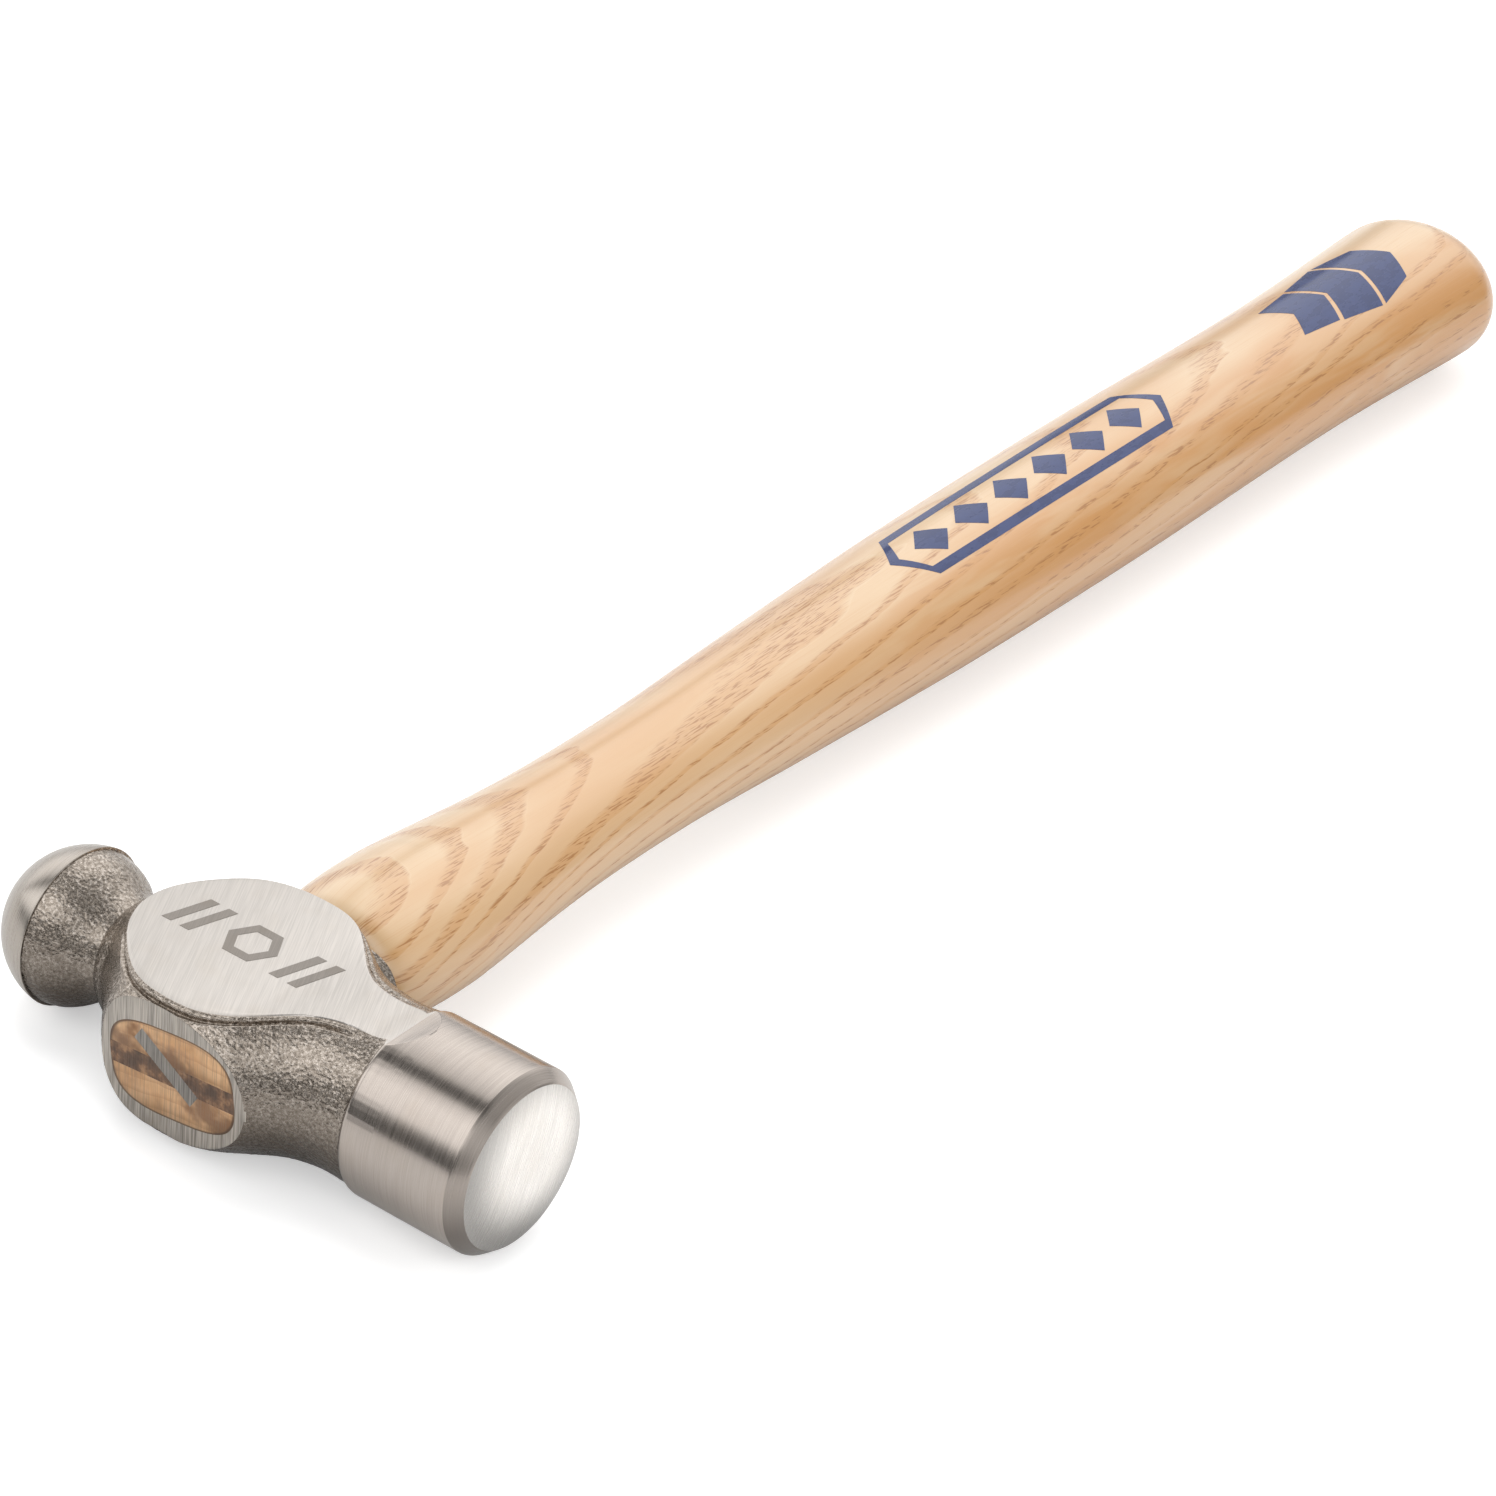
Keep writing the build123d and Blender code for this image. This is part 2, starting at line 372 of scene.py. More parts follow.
# Angles go round the head's axis: 0 is up, 90 faces the ground eye face, 180 is down. Going round
# from the rear edge of the upper cheek there are eight stretches: even ones are the upper cheek, the
# eye face, the lower cheek and the rear face, odd ones are the bands of forged skin between them.
flat_columns = 36
band_columns = 66
forged_step = 0.25
column_shares = {"flat": finer_at_ends(flat_columns), "band": finer_at_ends(band_columns)}


def surface_of(node):
    """The frame's mesh of a node, in millimetres, to cast rays at."""
    mesh = nodes[node].data
    points = [v.co / MM for v in mesh.vertices]
    return BVHTree.FromPolygons(points, [tuple(p.vertices) for p in mesh.polygons])


head_surface = surface_of("hammer_head")
ray_start = 45.0
eye_margin = 1.03


def in_eye(x, rise, rear):
    """True where the eye opens in the plane of the eye face, or of the handle side."""
    if rear:
        return math.hypot(x / eye_foot[0], rise / eye_foot[1]) < eye_margin
    turn = math.radians(eye_mouth_turn)
    along = (x - eye_mouth_x) * math.cos(turn) + rise * math.sin(turn)
    across = rise * math.cos(turn) - (x - eye_mouth_x) * math.sin(turn)
    powers = abs(along / eye_mouth[0]) ** eye_fullness + abs(across / eye_mouth[1]) ** eye_fullness
    return powers ** (1 / eye_fullness) < eye_margin


def radius_at(x, degrees):
    """Distance from the head's axis to its skin, with the eye taken as closed."""
    a = math.radians(degrees)
    side, up = -math.sin(a), math.cos(a)
    if abs(side) > 0.5 and in_eye(x, eye_half * up / abs(side), side > 0):
        return eye_half / abs(side)
    start = Vector((x, side * ray_start, axis_z + up * ray_start))
    hit = head_surface.ray_cast(start, Vector((0, -side, -up)), ray_start)
    if hit[0] is None:
        return eye_half / max(abs(side), 0.4)
    return ray_start - hit[3]


def last_on_plane(x, start, step, reach, flatness=0.04):
    """How many degrees from start, going by step's sign, the skin stays on the plane it starts on."""

    def height(degrees):
        offset = math.radians(degrees - start)
        return radius_at(x, degrees) * math.cos(offset)

    level = height(start) - flatness
    low, high = 0.0, reach
    for _ in range(14):
        middle = (low + high) / 2
        if height(start + step * middle) >= level:
            low = middle
        else:
            high = middle
    return low


# Half angles that the columns of a flat keep where it has ended, beside it and far from it; the X
# of its middle, and the distances from there over which they grow; and the most they can reach.
cheek_least, cheek_fade, cheek_reach = (2.2, 22.2), (7, 28, 50), 75
eye_least, eye_fade, eye_reach = (3.0, 22.0), (1.2, 14, 26), 45
plane_gap = 0.05


def least_angle(x, least, fade):
    middle, near, far = fade
    return least[0] + (least[1] - least[0]) * smooth(abs(x - middle), near, far)


def edge_angles(x):
    """Half angles of the cheek flat, to the front and to the rear, and of the two eye faces."""
    least = least_angle(x, cheek_least, cheek_fade)
    cheek_front = max(last_on_plane(x, 0, 1, cheek_reach), least)
    cheek_rear = max(last_on_plane(x, 0, -1, cheek_reach), least)
    front = rear = least = least_angle(x, eye_least, eye_fade)
    if abs(radius_at(x, 90) - eye_half) < plane_gap:
        front = max(last_on_plane(x, 90, -1, eye_reach), least)
    if abs(radius_at(x, 270) - eye_half) < plane_gap:
        rear = max(last_on_plane(x, 270, 1, eye_reach), least)
    return cheek_front, cheek_rear, front, rear


def ring_columns(cheek_front, cheek_rear, front, rear):
    """Column angles all the way round, and which of the eight stretches each starts in."""
    corners = [
        -cheek_rear,
        cheek_front,
        90 - front,
        90 + front,
        180 - cheek_front,
        180 + cheek_rear,
        270 - rear,
        270 + rear,
        360 - cheek_rear,
    ]
    angles = []
    for stretch, (start, end) in enumerate(zip(corners, corners[1:])):
        shares = column_shares["band" if stretch % 2 else "flat"]
        angles.extend(start + (end - start) * shares)
    return np.array(angles), corners


# The sharp ring: how far past it along X, how far inside its radius, and the faces that follow.
ring_lip = [(-0.04, 0.01, BALL), (0.03, 0.10, FORGED), (0.05, 0.42, FORGED)]
rim_start = poll_end - 0.25  # the rounded edge between poll and bevel
rim_long, rim_drop = 0.5, 0.42
rim_shares = (0.25, 0.5, 0.75, 1.0)
bevel_shares = (0.3, 0.6, 0.85)
bevel_lip = (0.06, 0.05)
face_shares = (0.995, 0.985, 0.97, 0.955, 0.935, *np.linspace(0.91, 0.02, 30))


def head_rings():
    """Rings as (x, radius or None to read it from the frame, material of the faces after it)."""
    rings = []
    ball_turn = math.acos((ball_x - ring_x) / ball_radius)
    for turn in ball_turn * np.linspace(0.012, 0.992, 44):
        rings.append((ball_x - ball_radius * math.cos(turn), ball_radius * math.sin(turn), BALL))
    ring_radius = math.sqrt(ball_radius**2 - (ball_x - ring_x) ** 2)
    rings += [(ring_x + past, ring_radius - inside, material) for past, inside, material in ring_lip]
    rings += [(x, None, FORGED) for x in np.arange(ring_x + 0.2, poll_start - 0.1, forged_step)]
    rings += [(x, None, POLL) for x in np.arange(poll_start + 0.06, poll_start + poll_round, 0.15)]
    rings += [(x, None, POLL) for x in np.arange(poll_start + poll_round + 0.1, tongue_end, 0.4)]
    rings += [(x, poll_radius, POLL) for x in np.linspace(tongue_end, rim_start, 9)]
    slope = math.atan2(poll_radius - face_radius, bevel_end - poll_end)
    for turn in (slope * share for share in rim_shares):
        radius = poll_radius - rim_drop * (1 - math.cos(turn))
        rings.append((rim_start + rim_long * math.sin(turn), radius, BEVEL))
    for share in bevel_shares:
        radius = poll_radius + (face_radius - poll_radius) * share
        rings.append((poll_end + (bevel_end - poll_end) * share, radius, BEVEL))
    rings.append((bevel_end - bevel_lip[0], face_radius + bevel_lip[1], BEVEL))
    for share in face_shares:
        rings.append((bevel_end + face_crown * (1 - share**crown_power), face_radius * share, FACE))
    return rings


# Turns per mm, height in mm and offset of each part of the forged skin's relief.
forging_parts = [
    (0.22, 0.10, (0, 0, 0)),  # low swells
    (0.75, 0.045, (7, 3, 1)),  # dents
    (1.9, 0.06, (2, 9, 4)),  # grain
    (3.2, 0.03, (5, 5, 8)),  # pits
]


def forging_noise(point):
    """How far the forged skin stands out at a point, from low swells to small pits."""
    return sum(noise.noise(point * turns + Vector(at)) * height for turns, height, at in forging_parts)


# The double line where the forging's flash was trimmed, on the bands beside the cheek flats.
trim_span = (-19, 26)  # X
trim_fade_in = (-19, -15)
trim_fade_out = (20, 27)
trim_at = 1.3  # distance from the flat's edge
trim_width = 0.33
trim_depth = 0.75
lip_depth = 0.16  # the edge itself is rounded over
lip_width = 0.22


def trim_line(x, side):
    """Depth of the trimmed line at a distance from the cheek flat's edge."""
    fade = smooth(x, *trim_fade_in) * (1 - smooth(x, *trim_fade_out))
    line = math.exp(-(((side - trim_at) / trim_width) ** 2))
    return (trim_depth * line + lip_depth * math.exp(-side / lip_width)) * fade


def flats_near(x):
    """True where the bands lie beside the cheek flats."""
    return cheek_span[0] < x < cheek_span[1]


def flat_exists(x, stretch):
    """True where this even stretch of columns is a ground or trimmed flat at that x."""
    low, high = {0: cheek_span, 4: cheek_span, 2: eye_face_span, 6: rear_face_span}[stretch]
    return low < x < high


def face_material(ring, stretch):
    x, _, material = ring
    if x < tongue_start and stretch in (0, 4) and flat_exists(x, stretch):
        return CHEEK
    if material == FORGED and stretch == 2 and flat_exists(x, stretch):
        return EYE_FACE
    return material


def forging_relief(x, stretch, to_start, to_end, point):
    """How far a point of the forged skin moves outwards, 0 on the flats."""
    is_band = stretch % 2 == 1
    if not is_band and flat_exists(x, stretch):
        return 0.0
    share = smooth(x, ring_x + 0.05, ring_x + 0.5) * (1 - smooth(x, poll_start - 0.8, poll_start - 0.1))
    if is_band and flats_near(x):
        share *= smooth(min(to_start, to_end), 0.05, 0.55)
    relief = forging_noise(point) * share
    if is_band and trim_span[0] < x < trim_span[1]:
        relief -= trim_line(x, to_start if stretch in (1, 5) else to_end)
    return relief


def build_head():
    rings = head_rings()
    points, angles_of, corners_of = [], [], []
    for x, radius, _ in rings:
        angles, corners = ring_columns(*edge_angles(min(max(x, ring_x), poll_end)))
        turn = np.radians(angles)
        radii = [radius or radius_at(x, a) for a in angles]
        row = [np.full(len(angles), x), -np.sin(turn) * radii, axis_z + np.cos(turn) * radii]
        points.append(np.stack(row, 1))
        angles_of.append(angles)
        corners_of.append(corners)
    points = np.array(points)
    count = points.shape[1]
    stretch_of = np.repeat(np.arange(8), [flat_columns, band_columns] * 4)

    # Move the forged skin along its outward normals.
    normals = np.cross(np.gradient(points, axis=0), np.roll(points, -1, 1) - np.roll(points, 1, 1))
    normals /= np.linalg.norm(normals, axis=2)[..., None] + 1e-12
    if (normals[..., 1:] * (points[..., 1:] - (0, axis_z))).sum() < 0:
        normals = -normals
    for i, (x, _, material) in enumerate(rings):
        if material != FORGED:
            continue
        for j, stretch in enumerate(stretch_of):
            radius = math.hypot(points[i, j, 1], points[i, j, 2] - axis_z)
            to_start = math.radians(angles_of[i][j] - corners_of[i][stretch]) * radius
            to_end = math.radians(corners_of[i][stretch + 1] - angles_of[i][j]) * radius
            relief = forging_relief(x, stretch, to_start, to_end, Vector(points[i, j]))
            points[i, j] += normals[i, j] * relief

    faces, face_materials = [], []
    for i in range(len(rings) - 1):
        for j in range(count):
            k = (j + 1) % count
            faces.append((i * count + j, i * count + k, (i + 1) * count + k, (i + 1) * count + j))
            face_materials.append(face_material(rings[i], stretch_of[j]))
    last = len(rings) * count
    tips = np.array([[ball_tip_x, 0, axis_z], [face_tip_x, 0, axis_z]])
    for j in range(count):
        k = (j + 1) % count
        faces += [(last, k, j), (last + 1, last - count + j, last - count + k)]
        face_materials += [BALL, FACE]
    points = np.concatenate([points.reshape(-1, 3), tips])
    return new_object("hammer_head_skin", points, faces, head_materials, face_materials)


def eye_outline(half, middle_x, degrees, fullness):
    """Points (x, rise) round a section of the eye. A fullness of 2 is an ellipse, more is boxier."""
    turns = np.linspace(0, 2 * math.pi, eye_columns, endpoint=False)
    along = half[0] * np.sign(np.cos(turns)) * np.abs(np.cos(turns)) ** (2 / fullness)
    across = half[1] * np.sign(np.sin(turns)) * np.abs(np.sin(turns)) ** (2 / fullness)
    c, s = math.cos(math.radians(degrees)), math.sin(math.radians(degrees))
    return np.stack([middle_x + along * c - across * s, along * s + across * c], 1)


def eye_cutter():
    """The eye, a little longer than the head is deep, to cut through its skin."""
    mouth = eye_outline(eye_mouth, eye_mouth_x, eye_mouth_turn, eye_fullness)
    waist = eye_outline(eye_waist, eye_waist_x, eye_waist_turn, eye_fullness)
    foot = eye_outline(eye_foot, 0.0, 0.0, 2.0)
    known = [-eye_half, eye_waist_y, eye_half]
    curves = np.polyfit(known, np.stack([o.ravel() for o in (mouth, waist, foot)]), 2)
    beyond = eye_half + 2.0
    stations = np.array([-beyond, *np.linspace(-eye_half, eye_half, 15), beyond])
    rows = []
    for y in stations:
        outline = np.polyval(curves, min(max(y, -eye_half), eye_half)).reshape(-1, 2)
        rows.append(np.stack([outline[:, 0], np.full(eye_columns, y), axis_z + outline[:, 1]], 1))
    points = np.concatenate(rows)
    faces = [tuple(range(eye_columns)), tuple(reversed(range(len(points) - eye_columns, len(points))))]
    for i in range(len(stations) - 1):
        for j in range(eye_columns):
            k = (j + 1) % eye_columns
            quad = ((i, k), (i, j), (i + 1, j), (i + 1, k))
            faces.append(tuple(n * eye_columns + m for n, m in quad))
    return new_object("eye_cutter", points, faces, [head_materials[FORGED]])


def face_outward(made):
    """Consistent outward normals on a closed mesh."""
    work = bmesh.new()
    work.from_mesh(made.data)
    bmesh.ops.recalc_face_normals(work, faces=work.faces)
    work.to_mesh(made.data)
    work.free()


def cut(made, cutter):
    """Cut one closed object out of another, and drop it."""
    modifier = made.modifiers.new("cut", "BOOLEAN")
    modifier.operation = "DIFFERENCE"
    modifier.object = cutter
    modifier.solver = "MANIFOLD"
    graph = bpy.context.evaluated_depsgraph_get()
    mesh = bpy.data.meshes.new_from_object(made.evaluated_get(graph), depsgraph=graph)
    made.modifiers.clear()
    made.data = mesh
    bpy.data.objects.remove(cutter)


head = build_head()
face_outward(head)
cutter = eye_cutter()
face_outward(cutter)
cut(head, cutter)
head.data.set_sharp_from_angle(angle=math.radians(62))
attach(head, "root")
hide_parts("hammer_head")

# ---- ash ----------------------------------------------------------------------------------------

grain_tilt = -8  # degrees round the handle's axis
grain_bow = 170.0  # mm, twice the radius of the rings' curve
grain_slope = 0.068  # mm that the rings climb for each mm along the handle,
grain_lift = 14.0  # and that they climb besides near the head,
lift_length = 30  # most of it over this length
wander_height, ripple_height = 2.6, 1.5
ring_spacing = 2.7
ring_start = 1.2
ring_unevenness = 1.8
pore_turns = 50.0


def growth_layers(graph, x, y, z):
    """How far a point lies up through the growth rings, in mm. The layers are tilted and bowed, and
    climb along the handle, steeply near the head, so that they show as arches on its upper side."""
    tilt = math.radians(grain_tilt)
    level = graph.add(graph.mul(x, math.sin(tilt)), graph.mul(z, math.cos(tilt)))
    aside = graph.sub(graph.mul(x, math.cos(tilt)), graph.mul(z, math.sin(tilt)))
    bow = graph.mul(graph.mul(aside, aside), 1 / grain_bow)
    wander = graph.noise(graph.grainwise(x, y, z, 0.045, 0.011), 1.0, 1.0)
    wave = graph.mul(graph.sub(wander, 0.5), wander_height)
    ripple = graph.noise(graph.grainwise(x, y, z, 0.20, 0.045), 1.0, 2.0)
    wave = graph.add(wave, graph.mul(graph.sub(ripple, 0.5), ripple_height))
    fall = graph.math("EXPONENT", graph.mul(y, -1 / lift_length))
    climb = graph.add(graph.mul(y, grain_slope), graph.mul(graph.sub(1.0, fall), grain_lift))
    return graph.sub(graph.add(graph.add(level, bow), wave), climb)


def ring_phase(graph, layer):
    """Place within a growth ring, 0 at its first, porous wood. Rings differ in thickness."""
    layer = graph.add(layer, ring_start)
    uneven = graph.noise(graph.vector(layer, 0.0, 0.0), 0.21, 1.0)
    turns = graph.add(graph.mul(layer, 1 / ring_spacing), graph.mul(uneven, ring_unevenness))
    return graph.math("FRACT", turns)


def wood_brush(graph, x, z):
    """Scratches of the belt that ground the end of the handle and the wedges."""
    fine = graph.noise(graph.vector(graph.mul(x, 5.0), 0.0, graph.mul(z, 0.10)), 1.0, 3.0, 0.65)
    return graph.spread(fine, 0.40, 0.68)


def ash_wood(name):
    """Ash with rows of long open pores at the start of each ring, under clear lacquer. Its +X side is
    painted darker and more tan as shade, with streaks of honey there towards the butt."""
    cream = (0.560, 0.395, 0.228)
    tan = (0.50, 0.280, 0.112)
    honey = (0.46, 0.212, 0.050)
    golden = (0.45, 0.210, 0.048)
    brown = (0.29, 0.112, 0.015)
    graph = Graph(bpy.data.materials.new(name))
    x, y, z = graph.place()
    phase = ring_phase(graph, growth_layers(graph, x, y, z))
    early = graph.mul(graph.spread(phase, 0.0, 0.07), graph.spread(phase, 0.20, 0.46, 1.0, 0.0))

    # Pores run along Y, so their pattern is one of the turn round the handle and of Y.
    across = graph.math("SQRT", graph.add(graph.mul(x, x), graph.mul(z, z)))
    turn_x = graph.mul(graph.math("DIVIDE", x, across), pore_turns)
    turn_z = graph.mul(graph.math("DIVIDE", z, across), pore_turns)
    pore = graph.noise(graph.vector(turn_x, turn_z, graph.mul(y, 0.26)), 1.0, 1.5, 0.5)
    broken = graph.noise(graph.vector(turn_z, turn_x, graph.mul(y, 0.55)), 0.6, 1.0)
    pores = graph.mul(graph.spread(pore, 0.50, 0.60), graph.spread(broken, 0.36, 0.5))
    pores = graph.mul(pores, early)
    hairs = graph.vector(graph.mul(turn_x, 1.5), graph.mul(turn_z, 1.5), graph.mul(y, 0.06))
    hair = graph.noise(hairs, 1.0, 2.0, 0.6)

    patch = graph.noise(graph.grainwise(x, y, z, 0.07, 0.016), 1.0, 2.0)
    towards_butt = graph.spread(y, 40.0, 230.0, 0.0, 0.10)
    warm = graph.spread(graph.add(patch, towards_butt), 0.46, 0.74, 0.0, 0.85)
    flank = graph.mul(graph.spread(x, 0.0, 9.0), graph.spread(y, 90.0, 210.0))
    streak = graph.noise(graph.grainwise(x, y, z, 0.16, 0.018), 1.0, 3.0, 0.55, 0.6)
    flank = graph.mul(flank, graph.spread(streak, 0.40, 0.58, 0.25, 1.0))
    layers = [
        (warm, tan),
        # Painted shade: darker and more tan towards the +X side.
        (graph.spread(x, 2.0, 13.0, 0.0, 0.5), tan),
        (flank, honey),
        (graph.spread(phase, 0.35, 1.0, 0.0, 0.20), tan),
        (graph.spread(hair, 0.5, 0.72, 0.0, 0.36), tan),
        (graph.mul(early, 0.5), golden),
        (graph.mul(pores, 0.85), brown),
    ]
    colour = cream
    for share, over in layers:
        colour = graph.mix(share, colour, over)
    height = graph.sub(graph.mul(hair, 0.12), pores)
    graph.set(Base_Color=colour, Normal=graph.bump(height, 0.035, 0.5))
    graph.set(Roughness=graph.spread(hair, 0.3, 0.7, 0.40, 0.50))
    graph.set(Coat_Weight=1.0, Coat_Roughness=0.22, Coat_IOR=1.85, Specular_IOR_Level=0.3)
    return graph.owner


def ground_end_grain():
    """The handle's end in the eye: orange-tan end grain, smeared dark beside the wedges, with painted
    shade along the eye's edge.
    """
    pale, orange = (0.68, 0.42, 0.225), (0.57, 0.315, 0.145)
    ring_brown, smear_brown = (0.40, 0.20, 0.085), (0.19, 0.085, 0.035)
    # gap is the colour of the painted shade along the eye's edge.
    dust, gap = (0.26, 0.165, 0.10), (0.08, 0.045, 0.025)
    smear_turn = -20
    graph = Graph(bpy.data.materials.new("ground_end_grain"))
    x, y, z = graph.place()
    from_middle = graph.sub(x, eye_mouth_x)
    layer = growth_layers(graph, x, y, z)
    rings = graph.spread(graph.math("FRACT", graph.mul(layer, 0.45)), 0.0, 0.4, 0.45, 0.0)
    blot = graph.noise(graph.vector(x, y, z), 0.16, 3.0, 0.6)
    _, beside = turned(graph, from_middle, z, smear_turn)
    near = graph.spread(graph.size(beside), 1.5, 5.5, 0.26, 0.0)
    smear = graph.spread(graph.add(blot, near), 0.60, 0.80, 0.0, 0.85)
    brush = wood_brush(graph, x, z)

    # Painted shade of a narrow gap follows the eye's edge: 1 on the outline of the mouth, less inside
    # it.
    sides = turned(graph, from_middle, z, eye_mouth_turn)
    shares = [graph.size(graph.mul(side, 1 / half)) for side, half in zip(sides, eye_mouth)]
    powers = [graph.math("POWER", share, eye_fullness) for share in shares]
    rim = graph.math("POWER", graph.add(*powers), 1 / eye_fullness)
    colour = graph.mix(graph.spread(blot, 0.35, 0.65), pale, orange)
    colour = graph.mix(rings, colour, ring_brown)
    colour = graph.mix(smear, colour, smear_brown)
    colour = graph.mix(graph.mul(brush, 0.62), colour, dust)
    # Painted shade: a thin dark line along the eye's edge.
    colour = graph.mix(graph.spread(rim, 0.95, 0.985, 0.0, 0.85), colour, gap)
    graph.set(Base_Color=colour, Roughness=0.5, Normal=graph.bump(brush, 0.03, 0.7))
    return graph.owner


handle_wood = ash_wood("lacquered_ash")
handle_end = ground_end_grain()

# ---- the handle: rings along Y read from the frame, and the sawn tongue in the eye ---------------

handle_surface = surface_of("handle")
handle_columns = 144
shoulder_end = 40  # Y up to which stations are closer, over the swell behind the head
butt_depth = 13.5  # length of the domed end
even_start = 23  # Y from which small facets are averaged away, up to even_end
even_end = butt_y - 3
even_rounds = 3


def half_size(y, direction):
    """Half width of the handle at y along a unit direction, measured from its axis."""
    start = Vector((0, y, axis_z)) + direction * ray_start
    hit = handle_surface.ray_cast(start, -direction, ray_start)
    return ray_start - hit[3]


def handle_profile():
    """Y stations with half widths along X and Z."""
    shoulder = np.arange(eye_half + 0.02, shoulder_end, 0.5)
    shaft = np.arange(shoulder_end, butt_y - butt_depth - 0.5, 2.0)
    turns = np.linspace(math.asin(0.05), math.pi / 2 - 0.02, 40)
    butt = butt_y - butt_depth * (1 - np.sin(turns))
    stations = np.concatenate([shoulder, shaft, butt[butt > shaft[-1] + 0.3]])
    across = np.array([half_size(y, Vector((1, 0, 0))) for y in stations])
    thick = np.array([half_size(y, Vector((0, 0, 1))) for y in stations])
    return stations, across, thick


def evened(values, stations):
    """Values with small facets averaged away."""
    inside = (stations > even_start) & (stations < even_end)
    for _ in range(even_rounds):
        middle = (np.roll(values, 1) + 2 * values + np.roll(values, -1)) / 4
        values = np.where(inside, middle, values)
    return values


handle_stations, handle_across, handle_thick = handle_profile()
handle_across = evened(handle_across, handle_stations)
handle_thick = evened(handle_thick, handle_stations)


def build_handle():
    turns = np.linspace(0, 2 * math.pi, handle_columns, endpoint=False)
    rows = [
        np.stack([a * np.cos(turns), np.full(handle_columns, y), axis_z + t * np.sin(turns)], 1)
        for y, a, t in zip(handle_stations, handle_across, handle_thick)
    ]
    points = np.concatenate([*rows, [[0, butt_y, axis_z]]])
    faces = []
    for i in range(len(rows) - 1):
        for j in range(handle_columns):
            k = (j + 1) % handle_columns
            quad = ((i, j), (i + 1, j), (i + 1, k), (i, k))
            faces.append(tuple(n * handle_columns + m for n, m in quad))
    tip = len(points) - 1
    for j in range(handle_columns):
        k = (j + 1) % handle_columns
        faces.append((tip - handle_columns + j, tip, tip - handle_columns + k))
    shaft = new_object("handle_body", points, faces, [handle_wood, handle_end])

    # Join the shaft to the sawn tongue, which is the frame's own.
    work = bmesh.new()
    work.from_mesh(nodes["handle"].data)
    bmesh.ops.remove_doubles(work, verts=work.verts, dist=1e-7)
    cut_at = Vector((0, eye_half * MM, 0))
    whole = work.verts[:] + work.edges[:] + work.faces[:]
    bmesh.ops.bisect_plane(work, geom=whole, plane_co=cut_at, plane_no=(0, 1, 0), clear_outer=True)
    for face in work.faces:
        face.smooth = abs(face.normal.y) < 0.9
        on_eye_face = face.normal.y < -0.9 and face.calc_center_median().y < (1 - eye_half) * MM
        face.material_index = 1 if on_eye_face else 0
    work.from_mesh(shaft.data)
    rims = [e for e in work.edges if e.is_boundary]
    bmesh.ops.bridge_loops(work, edges=rims)
    bmesh.ops.recalc_face_normals(work, faces=work.faces)
    work.to_mesh(shaft.data)
    work.free()
    shaft.data.set_sharp_from_angle(angle=math.radians(50))
    return shaft


handle = build_handle()
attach(handle, "root")
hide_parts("handle")

# ---- plain geometric marks: blue film on the handle, etching on the upper cheek ------------------

film_thickness = 0.08  # how deep a mark reaches below the surface; half as much stands above it
film_middle = math.radians(87)  # turn of the marks' centre line from +X towards +Z
film_spread = 14.5  # mm of arc for one radian round the handle


def on_handle(along, arc, lift):
    """Point above the lacquer at a place along Y and a distance round the handle."""
    turn = film_middle + arc / film_spread
    wide = np.interp(along, handle_stations, handle_across)
    thick = np.interp(along, handle_stations, handle_thick)
    out = Vector((math.cos(turn) / wide, 0, math.sin(turn) / thick)).normalized() * lift
    return wide * math.cos(turn) + out.x, along, axis_z + thick * math.sin(turn) + out.z


def on_cheek(along, arc, lift):
    """Point above the upper cheek at a place along X and a distance along Y."""
    hit = head_surface.ray_cast(Vector((along, arc, ray_start)), Vector((0, 0, -1)), ray_start)
    return along, arc, hit[0].z + lift


def film(name, shapes, place, material, step):
    """Thin closed plates over four-cornered shapes, laid on a surface by place(along, arc, lift)."""
    points, faces = [], []
    for corners in shapes:
        a, b, c, d = (np.array(corner, float) for corner in corners)
        long = max(2, math.ceil(max(np.linalg.norm(b - a), np.linalg.norm(c - d)) / step))
        wide = max(2, math.ceil(max(np.linalg.norm(d - a), np.linalg.norm(c - b)) / step))
        first = len(points)
        for lift in (film_thickness / 2, -film_thickness):
            for i in range(long + 1):
                for j in range(wide + 1):
                    u, v = i / long, j / wide
                    flat = (1 - u) * ((1 - v) * a + v * d) + u * ((1 - v) * b + v * c)
                    points.append(place(flat[0], flat[1], lift))
        row = wide + 1
        layer = (long + 1) * row
        rim = [i * row for i in range(long + 1)]
        rim += [long * row + j for j in range(1, row)]
        rim += [i * row + wide for i in range(long - 1, -1, -1)]
        rim += list(range(wide - 1, 0, -1))
        for i in range(long):
            for j in range(wide):
                quad = [i * row + j, (i + 1) * row + j]
                quad += [quad[1] + 1, quad[0] + 1]
                faces.append([first + n for n in quad])
                faces.append([first + layer + n for n in reversed(quad)])
        for n, m in zip(rim, rim[1:] + rim[:1]):
            faces.append([first + m, first + n, first + layer + n, first + layer + m])
    made = new_object(name, points, faces, [material])
    face_outward(made)
    made.data.set_sharp_from_angle(angle=math.radians(40))
    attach(made, "root")
    return made


def mirrored(corners):
    return [(along, -arc) for along, arc in corners]


